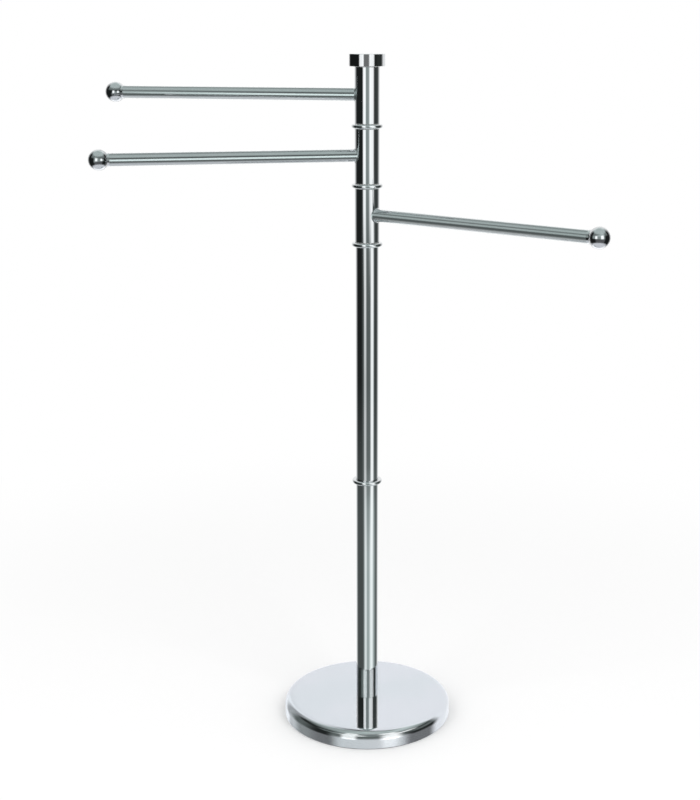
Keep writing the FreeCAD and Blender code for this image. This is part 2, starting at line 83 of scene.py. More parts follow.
TUBE_WALL = 1.2 * MM
TUBE_EDGE = 0.3 * MM        # rounding of a tube's outer edges
BAR_RADIUS = 8.0 * MM
BAR_WALL = 1.0 * MM
BAR_ROWS = np.linspace(0.85, 0.15, 4)   # rows on a bar's straight part, as shares of its length
ROOT_FILLET = 2.2 * MM      # hollow of the weld between bar and sleeve
ROOT_GAP = 0.05 * MM        # between bar and sleeve
TAPPED_RADIUS = 5.05 * MM   # holes that hold a thread
RING_LAND = 0.6 * MM        # straight part of the rings' half-round edge
CAP_EDGE = 0.8 * MM
CAP_RECESS_RADIUS = 11.0 * MM
CAP_RECESS_DEPTH = 1.45 * MM
CAP_HOLE_DEPTH = 10.0 * MM
COVER_WALL = 1.2 * MM
COVER_SHOULDER = 12.0 * MM
COVER_LIP = 0.48 * MM       # rounding of the rim's lower edge
COVER_HOLE = 5.3 * MM
COLLAR_RISE = 0.3 * MM      # over the bar
COLLAR_LENGTH = 3.0 * MM
COLLAR_EDGE = 0.2 * MM
SPIGOT_LENGTH = 16.0 * MM
SPIGOT_GAP = 0.05 * MM      # between spigot and bar

COLLAR_RADIUS = BAR_RADIUS + COLLAR_RISE
SPIGOT_RADIUS = BAR_RADIUS - BAR_WALL - SPIGOT_GAP


# ---------------------------------------------------------------- surfaces

def outline(corners):
    """The points of a closed profile. A corner is (radius, height, rounding): its two straight
    sides are joined by an arc of that rounding, whose centre lies on the corner's bisector at
    rounding / sin(half the angle), and each arc has a narrow row beside it."""
    points = []
    count = len(corners)
    for step, (radius, height, rounding) in enumerate(corners):
        corner = np.array([radius, height])
        if rounding == 0:
            points.append(corner[None])
            continue
        before = np.array(corners[step - 1][:2]) - corner
        after = np.array(corners[(step + 1) % count][:2]) - corner
        before_length, after_length = np.hypot(*before), np.hypot(*after)
        before, after = before / before_length, after / after_length
        half = math.acos(np.clip(before @ after, -1, 1)) / 2
        reach = rounding / math.tan(half)
        bisector = (before + after) / np.hypot(*(before + after))
        centre = corner + bisector * rounding / math.sin(half)
        start = corner + before * reach - centre
        end = corner + after * reach - centre
        first = math.atan2(start[1], start[0])
        sweep = (math.atan2(end[1], end[0]) - first + math.pi) % (2 * math.pi) - math.pi
        turn = first + sweep * np.linspace(0, 1, ARC_STEPS + 1)
        arc = centre + rounding * np.stack([np.cos(turn), np.sin(turn)], 1)
        if reach + SUPPORT < before_length / 2:
            arc = np.vstack([corner + before * (reach + SUPPORT), arc])
        if reach + SUPPORT < after_length / 2:
            arc = np.vstack([arc, corner + after * (reach + SUPPORT)])
        points.append(arc)
    return np.vstack(points)


def turned(profile):
    """A profile carried once round the axis: x = r cos a, y = r sin a, z = height."""
    radius, height = np.asarray(profile).T
    turn = np.linspace(0, 2 * math.pi, SEGMENTS, endpoint=False)
    return np.stack([np.outer(radius, np.cos(turn)), np.outer(radius, np.sin(turn)),
                     np.repeat(height[:, None], SEGMENTS, 1)], 2)


def along_x(grid):
    """Lays a turned form down, its axis along +X: (x, y, z) becomes (z, y, -x)."""
    return np.stack([grid[..., 2], grid[..., 1], -grid[..., 0]], -1)


def placed(grid, angle, height):
    """Turns points about the column by an angle and raises them."""
    cosine, sine = math.cos(angle), math.sin(angle)
    x, y, z = np.moveaxis(grid, -1, 0)
    return np.stack([cosine * x - sine * y, sine * x + cosine * y, z + height], -1)


def surface(name, grid, body, node, material, closed=True):
    """A piece from a grid of rows: every row is a closed ring, and so is the run of rows unless
    closed is False, where the first and the last row have shrunk to a point each. Faces are
    turned outwards by the sign of the volume that they enclose."""
    rows, columns = grid.shape[:2]
    row, column = np.meshgrid(np.arange(rows if closed else rows - 1), np.arange(columns),
                              indexing="ij")
    row_up, column_on = (row + 1) % rows, (column + 1) % columns
    faces = np.stack([row * columns + column, row * columns + column_on,
                      row_up * columns + column_on, row_up * columns + column], -1).reshape(-1, 4)
    points = grid.reshape(-1, 3)
    corners = points[faces]
    volume = np.einsum("ij,ij->", corners[:, 0], np.cross(corners[:, 1], corners[:, 2]))
    volume += np.einsum("ij,ij->", corners[:, 0], np.cross(corners[:, 2], corners[:, 3]))
    if volume < 0:
        faces = faces[:, ::-1]
    mesh = bpy.data.meshes.new(name)
    mesh.from_pydata(points.tolist(), [], faces.tolist())
    mesh.validate()
    piece = bpy.data.objects.new(name, mesh)
    bpy.context.scene.collection.objects.link(piece)
    if not closed:
        close_poles(mesh)
    mesh.polygons.foreach_set("use_smooth", np.ones(len(mesh.polygons), bool))
    mesh.set_sharp_from_angle(angle=math.radians(SHARP_ANGLE))
    mesh.materials.append(material)
    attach(piece, body)
    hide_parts(node)


def close_poles(mesh):
    """Merges the points of a row that has shrunk to one point."""
    work = bmesh.new()
    work.from_mesh(mesh)
    bmesh.ops.remove_doubles(work, verts=work.verts, dist=POLE_REACH)
    bmesh.ops.dissolve_degenerate(work, edges=work.edges, dist=POLE_REACH / 10)
    work.to_mesh(mesh)
    work.free()


# ---------------------------------------------------------------- node helpers

FLOAT = "NodeSocketFloat"
COLOUR = "NodeSocketColor"
VECTOR = "NodeSocketVector"


def new_material(name):
    """A material with only its output and its Principled shader."""
    material = bpy.data.materials.new(name)
    material.use_nodes = True
    shader = material.node_tree.nodes["Principled BSDF"]
    return material, material.node_tree, shader


def add(tree, kind, **settings):
    """A new node with its settings."""
    node = tree.nodes.new(kind)
    for key, value in settings.items():
        setattr(node, key, value)
    return node


def preset(node, values):
    """Sets the values of a node's inputs by their labels."""
    for label, value in values.items():
        node.inputs[label].default_value = value


def math_node(tree, operation, *inputs):
    """A Math node; an input is a number or a socket."""
    node = add(tree, "ShaderNodeMath", operation=operation)
    for index, value in enumerate(inputs):
        if isinstance(value, (int, float)):
            node.inputs[index].default_value = value
        else:
            tree.links.new(value, node.inputs[index])
    return node.outputs[0]


def noise(tree, vector, scale, detail, roughness=0.5):
    """A Noise texture's value; vector and scale are sockets."""
    texture = tree.nodes.new("ShaderNodeTexNoise")
    tree.links.new(vector, texture.inputs["Vector"])
    tree.links.new(scale, texture.inputs["Scale"])
    preset(texture, {"Detail": detail, "Roughness": roughness})
    return texture.outputs[0]


def smooth_mask(tree, value, start, end):
    """A mask that runs softly from 0 where the value is start to 1 where it is end."""
    mask = add(tree, "ShaderNodeMapRange", interpolation_type="SMOOTHSTEP")
    tree.links.new(value, mask.inputs["Value"])
    preset(mask, {"From Min": start, "From Max": end})
    return mask.outputs[0]


def new_group(name, inputs, outputs):
    """A shader node group with named sockets, given as (name, type, default) and (name, type)."""
    group = bpy.data.node_groups.new(name, "ShaderNodeTree")
    for label, kind, value in inputs:
        socket = group.interface.new_socket(label, in_out="INPUT", socket_type=kind)
        if value is not None:
            socket.default_value = value
    for label, kind in outputs:
        group.interface.new_socket(label, in_out="OUTPUT", socket_type=kind)
    return group, group.nodes.new("NodeGroupInput").outputs, group.nodes.new("NodeGroupOutput").inputs


# ---------------------------------------------------------------- finishes

SMUDGE_RANGE = (0.45, 0.75)             # noise values between which a smudge fades in
HAIRLINE_STRETCH = (0.06, 0.06, 1.0)    # draws the hairlines out level, round the column
HAIRLINE_HEIGHT = 0.01                  # of the waviness
TONE_RANGE = (0.35, 0.65)               # noise values between which one tone turns to the other


def handling_group():
    """Marks of polishing and handling: Roughness runs between Low and High over soft smudges
    and fine hairlines, and Height is a slow waviness of the metal plus the hairlines."""
    group, given, result = new_group(
        "handling_marks",
        [("Vector", VECTOR, None), ("Smudge Scale", FLOAT, 30.0), ("Hairline Scale", FLOAT, 900.0),
         ("Wave Scale", FLOAT, 30.0), ("Low", FLOAT, 0.03), ("High", FLOAT, 0.1),
         ("Hairline Share", FLOAT, 0.2)],
        [("Roughness", FLOAT), ("Height", FLOAT)])
    link = group.links.new
    cloud = noise(group, given["Vector"], given["Smudge Scale"], detail=5.0, roughness=0.6)
    smudges = smooth_mask(group, cloud, *SMUDGE_RANGE)

    stretched = add(group, "ShaderNodeVectorMath", operation="MULTIPLY")
    link(given["Vector"], stretched.inputs[0])
    stretched.inputs[1].default_value = HAIRLINE_STRETCH
    hairlines = noise(group, stretched.outputs[0], given["Hairline Scale"], detail=2.0)

    amount = math_node(group, "ADD", smudges,
                       math_node(group, "MULTIPLY", hairlines, given["Hairline Share"]))
    amount.node.use_clamp = True
    spread = group.nodes.new("ShaderNodeMapRange")
    link(amount, spread.inputs["Value"])
    link(given["Low"], spread.inputs["To Min"])
    link(given["High"], spread.inputs["To Max"])
    link(spread.outputs[0], result["Roughness"])

    waves = noise(group, given["Vector"], given["Wave Scale"], detail=1.0)
    link(math_node(group, "ADD", waves, math_node(group, "MULTIPLY", hairlines, HAIRLINE_HEIGHT)),
         result["Height"])
    return group


def tone_group():
    """A colour that drifts between two tones over a slow cloud pattern."""
    group, given, result = new_group(
        "tone_drift",
        [("Vector", VECTOR, None), ("Scale", FLOAT, 20.0), ("Tone A", COLOUR, (1, 1, 1, 1)),
         ("Tone B", COLOUR, (0, 0, 0, 1))],
        [("Color", COLOUR)])
    link = group.links.new
    cloud = noise(group, given["Vector"], given["Scale"], detail=3.0)
    mix = add(group, "ShaderNodeMix", data_type="RGBA")
    link(smooth_mask(group, cloud, *TONE_RANGE), mix.inputs["Factor"])
    link(given["Tone A"], mix.inputs[6])
    link(given["Tone B"], mix.inputs[7])
    link(mix.outputs[2], result["Color"])
    return group


HANDLING = handling_group()
TONE = tone_group()


def finish(name, tones, tone_scale, metallic, low, high, smudge_scale, hairline_scale,
           hairline_share, wave_scale, wave_height):
    """A material made of the two shared effects with its own values: two tones, the lowest and
    the highest roughness, the patterns' scales as cells per metre, and the waves' height."""
    material, tree, shader = new_material(name)
    link = tree.links.new
    place = tree.nodes.new("ShaderNodeTexCoord").outputs["Object"]
    tone = add(tree, "ShaderNodeGroup", node_tree=TONE)
    link(place, tone.inputs["Vector"])
    preset(tone, {"Scale": tone_scale, "Tone A": (*tones[0], 1), "Tone B": (*tones[1], 1)})
    link(tone.outputs["Color"], shader.inputs["Base Color"])
    marks = add(tree, "ShaderNodeGroup", node_tree=HANDLING)
    link(place, marks.inputs["Vector"])
    preset(marks, {"Smudge Scale": smudge_scale, "Hairline Scale": hairline_scale,
                   "Wave Scale": wave_scale, "Low": low, "High": high,
                   "Hairline Share": hairline_share})
    link(marks.outputs["Roughness"], shader.inputs["Roughness"])
    bump = tree.nodes.new("ShaderNodeBump")
    preset(bump, {"Strength": 1.0, "Distance": wave_height})
    link(marks.outputs["Height"], bump.inputs["Height"])
    link(bump.outputs["Normal"], shader.inputs["Normal"])
    shader.inputs["Metallic"].default_value = metallic
    return material


CHROME_TONES = ((0.66, 0.685, 0.695), (0.69, 0.70, 0.715))
tube_chrome = finish(
    "tube_chrome", CHROME_TONES, tone_scale=14, metallic=1.0, low=0.025, high=0.075,
    smudge_scale=35, hairline_scale=1400, hairline_share=0.35, wave_scale=38, wave_height=0.03 * MM)
turned_chrome = finish(
    "turned_chrome", CHROME_TONES, tone_scale=25, metallic=1.0, low=0.02, high=0.06,
    smudge_scale=60, hairline_scale=1800, hairline_share=0.3, wave_scale=60, wave_height=0.02 * MM)
pressed_chrome = finish(
    "pressed_chrome", CHROME_TONES, tone_scale=9, metallic=1.0, low=0.02, high=0.06,
    smudge_scale=18, hairline_scale=900, hairline_share=0.15, wave_scale=16, wave_height=0.06 * MM)
zinc_steel = finish(
    "zinc_steel", ((0.50, 0.51, 0.52), (0.42, 0.42, 0.42)), tone_scale=60, metallic=1.0, low=0.28,
    high=0.5, smudge_scale=90, hairline_scale=2500, hairline_share=0.5, wave_scale=300,
    wave_height=0.04 * MM)
cast_iron = finish(
    "cast_iron", ((0.055, 0.055, 0.058), (0.12, 0.10, 0.09)), tone_scale=40, metallic=0.6, low=0.55,
    high=0.85, smudge_scale=120, hairline_scale=1500, hairline_share=0.3, wave_scale=450,
    wave_height=0.6 * MM)
pad_rubber = finish(
    "pad_rubber", ((0.020, 0.020, 0.021), (0.034, 0.034, 0.036)), tone_scale=35, metallic=0.0,
    low=0.6, high=0.85, smudge_scale=80, hairline_scale=2200, hairline_share=0.6, wave_scale=900,
    wave_height=0.15 * MM)
bush_plastic = finish(
    "bush_plastic", ((0.70, 0.70, 0.67), (0.62, 0.62, 0.60)), tone_scale=50, metallic=0.0,
    low=0.35, high=0.5, smudge_scale=120, hairline_scale=1800, hairline_share=0.4, wave_scale=250,
    wave_height=0.03 * MM)


# ---------------------------------------------------------------- chrome pieces

def tube_piece(name, node, body):
    """A tube between its node's ends, open inside, with rounded outer edges."""
    low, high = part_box(node)
    outer, bore = high.x, high.x - TUBE_WALL
    profile = outline([(outer, low.z, TUBE_EDGE), (outer, high.z, TUBE_EDGE),
                       (bore, high.z, 0), (bore, low.z, 0)])
    surface(name, turned(profile), body, node, tube_chrome)


def ring_piece(name, node):
    """A bead ring: its edge is a half round with a short straight land."""
    low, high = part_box(node)
    bead = (high.z - low.z - RING_LAND) / 2
    profile = outline([(high.x, low.z, bead), (high.x, high.z, bead),
                       (TAPPED_RADIUS, high.z, 0), (TAPPED_RADIUS, low.z, 0)])
    surface(name, turned(profile), "stand", node, turned_chrome)


def cap_piece():
    """The cap: a thick disc with small rounded edges, and underneath a recess and a hole. Its
    profile starts and ends on the axis, at the hole's end and at the middle of the top."""
    low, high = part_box("top_cap")
    recess = low.z + CAP_RECESS_DEPTH
    hole = low.z + CAP_HOLE_DEPTH
    profile = outline([(high.x, low.z, CAP_EDGE), (high.x, high.z, CAP_EDGE), (0, high.z, 0),
                       (0, hole, 0), (TAPPED_RADIUS, hole, 0), (TAPPED_RADIUS, recess, 0),
                       (CAP_RECESS_RADIUS, recess, 0), (CAP_RECESS_RADIUS, low.z, 0)])
    top = int(np.flatnonzero(profile[:, 0] == 0)[0])
    profile = np.roll(profile, -top - 1, axis=0)
    surface("top_cap_turned", turned(profile), "stand", "top_cap", turned_chrome, closed=False)


def cover_piece():
    """The pressed dish of the base: a flat top, a quarter-round shoulder and a straight rim,
    one sheet thick, with the bolt's hole in the middle."""
    low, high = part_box("base_cover")
    outer, inner = high.x, high.x - COVER_WALL
    under = high.z - COVER_WALL
    profile = outline([(outer, low.z, COVER_LIP), (outer, high.z, COVER_SHOULDER),
                       (COVER_HOLE, high.z, 0), (COVER_HOLE, under, 0),
                       (inner, under, COVER_SHOULDER - COVER_WALL), (inner, low.z, 0)])
    surface("base_cover_pressed", turned(profile), "stand", "base_cover", pressed_chrome)


def bar_piece(arm, angle, height, root_radius, reach):
    """A bar along +X whose root flares into its sleeve. Round the bar (angle a) the flare is the
    arc of a ball of the fillet's radius that rolls along both cylinders: its centre is at
    y = (r + f) cos a, z = (r + f) sin a and x = sqrt((R + f)^2 - y^2), and it touches the bar
    and the sleeve where lines from its centre to their axes meet them."""
    outer, bore = BAR_RADIUS, BAR_RADIUS - BAR_WALL
    turn = np.linspace(0, 2 * math.pi, SEGMENTS, endpoint=False)
    cosine, sine = np.cos(turn), np.sin(turn)

    def row(x, radius):
        """A ring round the bar, at a distance x that may differ round it."""
        return np.stack([x + 0 * turn, radius * cosine, radius * sine], 1)

    centre = row(0, outer + ROOT_FILLET)
    centre[:, 0] = np.sqrt((root_radius + ROOT_FILLET) ** 2 - centre[:, 1] ** 2)
    to_bar = np.stack([0 * turn, -cosine, -sine], 1)
    to_sleeve = -centre * [1, 1, 0] / (root_radius + ROOT_FILLET)
    opening = np.arccos(np.clip((to_bar * to_sleeve).sum(1), -1, 1))[:, None]
    rows = [row(reach, outer), row(reach - SUPPORT, outer)]
    for share in BAR_ROWS:
        rows.append(row(centre[:, 0] + share * (reach - centre[:, 0]), outer))
    rows.append(row(centre[:, 0] + SUPPORT, outer))
    for share in np.linspace(0, 1, ROOT_STEPS + 1):
        blend = np.sin((1 - share) * opening) * to_bar + np.sin(share * opening) * to_sleeve
        rows.append(centre + ROOT_FILLET * blend / np.sin(opening))
    edge = rows[-1]
    scale = (root_radius + ROOT_GAP) / np.hypot(edge[:, 0], edge[:, 1])
    rows[-1] = np.stack([edge[:, 0] * scale, edge[:, 1] * scale, edge[:, 2]], 1)
    mouth = row(0, bore)
    mouth[:, 0] = np.sqrt((root_radius + ROOT_GAP) ** 2 - mouth[:, 1] ** 2)
    rows += [mouth, row(reach, bore)]
    surface(arm + "_arm_bar_flared", placed(np.stack(rows), angle, height), arm + "_arm",
            arm + "_arm_bar", tube_chrome)


def ball_piece(arm, angle, height, reach, radius):
    """The ball end: a ball, its collar and the spigot inside the bar, turned about the bar."""
    opening = math.asin(COLLAR_RADIUS / radius)
    turn = np.linspace(0, math.pi - opening, BALL_STEPS + 1)
    sphere = np.stack([radius * np.sin(turn), reach + radius * np.cos(turn)], 1)
    shoulder = reach - radius * math.cos(opening)
    seat = shoulder - COLLAR_LENGTH
    end = seat - SPIGOT_LENGTH
    rest = outline([(COLLAR_RADIUS, shoulder, 0), (COLLAR_RADIUS, seat, COLLAR_EDGE),
                    (SPIGOT_RADIUS, seat, 0), (SPIGOT_RADIUS, end, 0), (0, end, 0)])
    profile = np.vstack([sphere, rest[1:]])
    surface(arm + "_arm_ball_turned", placed(along_x(turned(profile)), angle, height),
            arm + "_arm", arm + "_arm_ball", turned_chrome, closed=False)


def arm_pieces(arm):
    """The sleeve, the bar and the ball of one arm, placed by its hinge and by the ball's box,
    whose far side on each axis is one radius past the ball's middle."""
    joint = next(item for item in frame["joints"] if item["name"] == arm + "_arm_swivel")
    height = joint["pos_m"][2]
    low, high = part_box(arm + "_arm_ball")
    radius = high.z - height
    far_sides = [max(sides, key=abs) for sides in zip(low[:2], high[:2])]
    middle = [side - math.copysign(radius, side) for side in far_sides]
    angle = math.atan2(middle[1], middle[0])
    reach = math.hypot(*middle)
    collar_seat = reach - math.sqrt(radius ** 2 - COLLAR_RADIUS ** 2) - COLLAR_LENGTH
    sleeve_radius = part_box(arm + "_arm_sleeve")[1].x
    tube_piece(arm + "_arm_sleeve_tube", arm + "_arm_sleeve", arm + "_arm")
    bar_piece(arm, angle, height, sleeve_radius, collar_seat)
    ball_piece(arm, angle, height, reach, radius)


tube_piece("lower_post_tube", "lower_post", "stand")
tube_piece("upper_post_tube", "upper_post", "stand")
for ring_name in ("joint_ring", "low_spacer_ring", "middle_spacer_ring", "top_spacer_ring"):
    ring_piece(ring_name + "_bead", ring_name)
cap_piece()
cover_piece()
for arm_name in ("low", "middle", "top"):
    arm_pieces(arm_name)

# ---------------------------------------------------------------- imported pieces

FINISH_OF_SLOT = {"chrome": turned_chrome, "steel": zinc_steel, "cast_iron": cast_iron,
                  "pad": pad_rubber, "bush_plastic": bush_plastic}
for part in frame["record"]["subparts"]:
    materials = frame["nodes"][part["node"]].data.materials
    for index in range(len(materials)):
        materials[index] = FINISH_OF_SLOT[part["material_slot"]]

# ---------------------------------------------------------------- rooms: painted reflections

# The metal mirrors a painted room, so its reflections are painted; the room shows in nothing else:
# it neither lights nor shades the stand. Each kind of piece has a room of its own, as light linking
# allows, and so its own painted reflections. Directions are in degrees as seen from the stand: the
# turn is 0 towards the camera and positive to the right, the lift is 0 level and 90 overhead.
ROOM_RADIUS = 12.0      # of the first room
ROOM_GAP = 1.0          # from one room to the next
ROOM_CENTRE = 0.45      # height of the rooms' centre
ROOM_STEP = 2.0         # degrees from one painted point to the next

PLAIN = (1.0, 1.0, 1.0)
TEAL = (0.90, 1.03, 1.01)
LAVENDER = (0.975, 1.0, 1.05)
ALL_ROUND = (-200, 200, 1)
ALL_UP = (-110, 110, 1)

# A room is a sum of painted light patches, which the metal shows as painted reflections: the stretch
# of turns and the stretch of lifts that it covers, each as (start, end, softness), with half the
# light at start and end, and its tone and tint.
ROOMS = {
    "column": (
        ((132, 230, 50), ALL_UP, 1.05, PLAIN),              # white backdrop
        (ALL_ROUND, ALL_UP, 0.018, TEAL),                   # dark flags
        ((74, 135, 24), ALL_UP, 0.04, TEAL),                # right side
        ((-20, 28, 30), (-6, 40, 6), 0.34, TEAL),           # front wall, high
        ((-44, 75, 40), (-19, -6, 5), 0.13, TEAL),          # front wall, middle
        ((-30, 85, 40), (-60, -19.5, 4), 0.42, TEAL),       # front wall, low
        ((-38, -13, 10), (-7, 50, 5), 1.28, PLAIN),         # left card, high
        ((-31, -8, 12), (-20, -7, 5), 0.6, PLAIN),          # left card, middle
        ((-27, -13, 8), (-12, -7, 4), 0.28, PLAIN),         # its brighter upper edge
        ((-27, -4, 14), (-44, -20, 4), 0.55, PLAIN),        # left card, low
        ((21, 62, 20), (-7, 50, 5), 1.3, PLAIN),            # right card, high
        ((37, 68, 18), (-20, -7, 5), 1.12, PLAIN),          # right card, middle
        ((29, 64, 28), (-44, -20, 4), 0.72, PLAIN),         # right card, low
        (ALL_ROUND, (-60, -17, 8), 0.08, TEAL),             # haze below
        ((-125, 125, 30), (35, 110, 24), 0.55, TEAL),       # ceiling
        (ALL_ROUND, (-110, -58, 30), 0.7, LAVENDER),        # floor
    ),
    "cap": (
        ((114, 214, 28), ALL_UP, 1.0, PLAIN),               # white backdrop
        (ALL_ROUND, ALL_UP, 0.012, TEAL),                   # dark flags
        ((-30, 20, 12), (-40, 40, 10), 0.2, PLAIN),         # front wall
        ((-50, -22, 8), (-40, 50, 10), 1.25, PLAIN),        # left card
        ((14, 45, 12), (-40, 50, 10), 1.3, PLAIN),          # right card
        ((60, 130, 30), (-40, 50, 10), 0.025, TEAL),        # right side
        ((-125, 125, 30), (35, 110, 24), 0.5, TEAL),        # ceiling
        (ALL_ROUND, (-110, -58, 30), 0.6, LAVENDER),        # floor
    ),
    "bars": (
        ((130, 230, 50), (-52, 40, 30), 1.0, PLAIN),        # white backdrop
        (ALL_ROUND, ALL_UP, 0.13, TEAL),                    # walls
        (ALL_ROUND, (38, 110, 26), 0.23, TEAL),             # ceiling
        ((-120, 120, 50), (40, 92, 22), 0.2, TEAL),         # its lit front
        ((-34, 40, 12), (-21, 9, 16), 1.0, TEAL),           # front card
        ((-95, -34, 16), (-2, 26, 18), 0.4, TEAL),          # side card
        (ALL_ROUND, (-110, -60, 50), 0.56, LAVENDER),       # floor
        ((105, 205, 40), (-80, -40, 20), 0.06, PLAIN),      # its back
        ((-145, -75, 40), (-80, -36, 20), 0.24, PLAIN),     # its left
    ),
    "balls": (
        ((130, 230, 50), (-60, 50, 30), 0.95, PLAIN),       # white backdrop
        (ALL_ROUND, ALL_UP, 0.015, TEAL),                   # dark flags
        ((-84, 90, 20), (22, 48, 16), 0.2, TEAL),           # upper wall
        ((-44, 50, 24), (-46, -10, 10), 0.11, LAVENDER),    # lower wall
        (ALL_ROUND, (46, 110, 20), 0.58, TEAL),             # ceiling
        (ALL_ROUND, (-110, -44, 16), 0.76, LAVENDER),       # floor
    ),
    "base": (
        ((106, 188, 20), (-90, 80, 20), 1.04, LAVENDER),    # white backdrop
        ((188, 218, 20), (-90, 62, 30), 0.96, LAVENDER),    # its dimmer left
        ((-150, -117, 22), (-90, 78, 30), 0.4, LAVENDER),   # its left end
        (ALL_ROUND, ALL_UP, 0.025, TEAL),                   # dark flags
        ((-132, -84, 30), (-90, 22, 14), 0.13, TEAL),       # left side
        ((60, 120, 24), (2, 20, 10), 0.14, TEAL),           # right side, low
        ((50, 110, 24), (29, 66, 14), 0.3, TEAL),           # right side, high
        ((-50, 54, 14), (-90, 90, 1), 0.15, TEAL),          # front wall
        ((-34, -15, 7), (-21, 22, 4), 1.03, PLAIN),         # left card, low
        ((-34, -15, 7), (32, 50, 4), 0.9, PLAIN),           # left card, high
        ((20, 45, 14), (-28, 22, 4), 1.15, PLAIN),          # right card, low
        ((22, 42, 12), (-32, -8, 10), 0.3, PLAIN),          # its bright foot
        ((20, 45, 14), (32, 48, 4), 1.0, PLAIN),            # right card, high
        # what the column's foot mirrors by way of the base's flat top
        ((-38, -4, 14), (22, 32, 4), 0.95, PLAIN),          # left card
        ((27, 70, 20), (22, 32, 4), 1.05, PLAIN),           # right card
        ((-70, 27, 20), (22, 32, 4), 0.17, TEAL),           # wall
        # overhead and underfoot
        ((-137, 108, 24), (46, 110, 30), 0.42, TEAL),       # ceiling
        ((-140, 106, 24), (-110, -19, 14), 0.2, LAVENDER),  # floor
        ((-44, 56, 20), (-110, -10, 18), 0.45, LAVENDER),   # its lit front
    ),
}
ROOM_OF_WORD = {"arm_bar": "bars", "arm_ball": "balls", "cap": "cap", "base": "base"}

# Painted reflections of two panels and a wall in front of the stand, seen only in the balls, on rooms
# near enough to shift from ball to ball.
PANEL_RADIUS = 1.5
PANELS = (
    ((-38, -16, 10), (6, 31, 10), 1.1, PLAIN),
    ((18, 41, 10), (6, 31, 10), 1.1, PLAIN),
)
WALL_RADIUS = 0.75
WALL = (
    ((-59, 51, 12), (15, 42, 12), 0.34, TEAL),
)


def smooth(value):
    """Runs from 0 to 1 with soft ends: t t (3 - 2 t)."""
    share = np.clip(value, 0, 1)
    return share * share * (3 - 2 * share)


def covered(angle, start, end, softness):
    """How far a stretch of angles covers an angle: 1 inside, 1/2 at its ends and 0 outside."""
    middle, half = (start + end) / 2, (end - start) / 2
    away = np.abs((angle - middle + 180) % 360 - 180)
    return smooth((half - away) / softness + 0.5)


def painted(patches, turn, lift):
    """The sum of the patches by direction."""
    colour = np.zeros(turn.shape + (3,))
    for turns, lifts, tone, tint in patches:
        share = covered(turn, *turns) * covered(lift, *lifts)
        colour += tone * share[..., None] * np.array(tint)
    return colour


def glow_material():
    """Adds the colours painted on the mesh to what is behind it."""
    material, tree, shader = new_material("room_glow")
    tree.nodes.remove(shader)
    paint = add(tree, "ShaderNodeAttribute", attribute_name="glow")
    glow = tree.nodes.new("ShaderNodeEmission")
    both = tree.nodes.new("ShaderNodeAddShader")
    clear = tree.nodes.new("ShaderNodeBsdfTransparent")
    tree.links.new(paint.outputs["Color"], glow.inputs["Color"])
    tree.links.new(glow.outputs[0], both.inputs[0])
    tree.links.new(clear.outputs[0], both.inputs[1])
    tree.links.new(both.outputs[0], tree.nodes["Material Output"].inputs["Surface"])
    material.cycles.emission_sampling = "NONE"
    return material


ROOM_GLOW = glow_material()


def reflected_room(name, patches, radius, seen_by):
    """A ball round the stand, painted with the patches, that only the pieces of one kind mirror.
    Its points are x = r cos(lift) sin(turn), y = -r cos(lift) cos(turn), z = centre + r sin(lift),
    and its faces need no outside, since they only glow."""
    turns = np.arange(-180, 180 + ROOM_STEP / 2, ROOM_STEP)
    lifts = np.arange(-90, 90 + ROOM_STEP / 2, ROOM_STEP)
    turn, lift = np.meshgrid(turns, lifts)
    across, up = np.radians(turn), np.radians(lift)
    points = np.stack([radius * np.cos(up) * np.sin(across), -radius * np.cos(up) * np.cos(across),
                       ROOM_CENTRE + radius * np.sin(up)], -1)
    rows, columns = turn.shape
    row, column = np.meshgrid(np.arange(rows - 1), np.arange(columns - 1), indexing="ij")
    corner = row * columns + column
    faces = np.stack([corner, corner + 1, corner + columns + 1, corner + columns], -1)
    mesh = bpy.data.meshes.new(name)
    mesh.from_pydata(points.reshape(-1, 3).tolist(), [], faces.reshape(-1, 4).tolist())
    colour = np.concatenate([painted(patches, turn, lift), np.ones((rows, columns, 1))], -1)
    paint = mesh.color_attributes.new(name="glow", type="FLOAT_COLOR", domain="POINT")
    paint.data.foreach_set("color", colour.astype(np.float32).ravel())
    mesh.materials.append(ROOM_GLOW)
    room = bpy.data.objects.new(name, mesh)
    bpy.context.scene.collection.objects.link(room)
    for flag in ("visible_camera", "visible_diffuse", "visible_transmission", "visible_shadow",
                 "visible_volume_scatter"):
        setattr(room, flag, False)
    room.light_linking.receiver_collection = seen_by


def kind_of(name):
    """Which room a piece mirrors."""
    for word, kind in ROOM_OF_WORD.items():
        if word in name:
            return kind
    return "column"


metal = {kind: bpy.data.collections.new(kind + "_metal") for kind in ROOMS}
for item in bpy.context.scene.objects:
    if item.type == "MESH":
        metal[kind_of(item.name)].objects.link(item)
for step, (kind, patches) in enumerate(ROOMS.items()):
    reflected_room(kind + "_room", patches, ROOM_RADIUS + step * ROOM_GAP, metal[kind])
reflected_room("panel_room", PANELS, PANEL_RADIUS, metal["balls"])
reflected_room("wall_room", WALL, WALL_RADIUS, metal["balls"])

# ---------------------------------------------------------------- floor, world and lamps

FLOOR_SIZE = 30.0
FLOOR_TONE = 0.93
FLOOR_LIFT = 0.09       # added for the camera, so that the lit floor comes close to white
FLOOR_PLAIN = 0.35      # radius round the stand without added white
FLOOR_WHITE = 1.3       # radius past which the camera sees plain white
WORLD_LEVEL = 0.8       # the world's light on the stand; the camera sees 1
LAMP_SIZE = 1.4
LAMP_TARGET = (0, 0, 0.4)


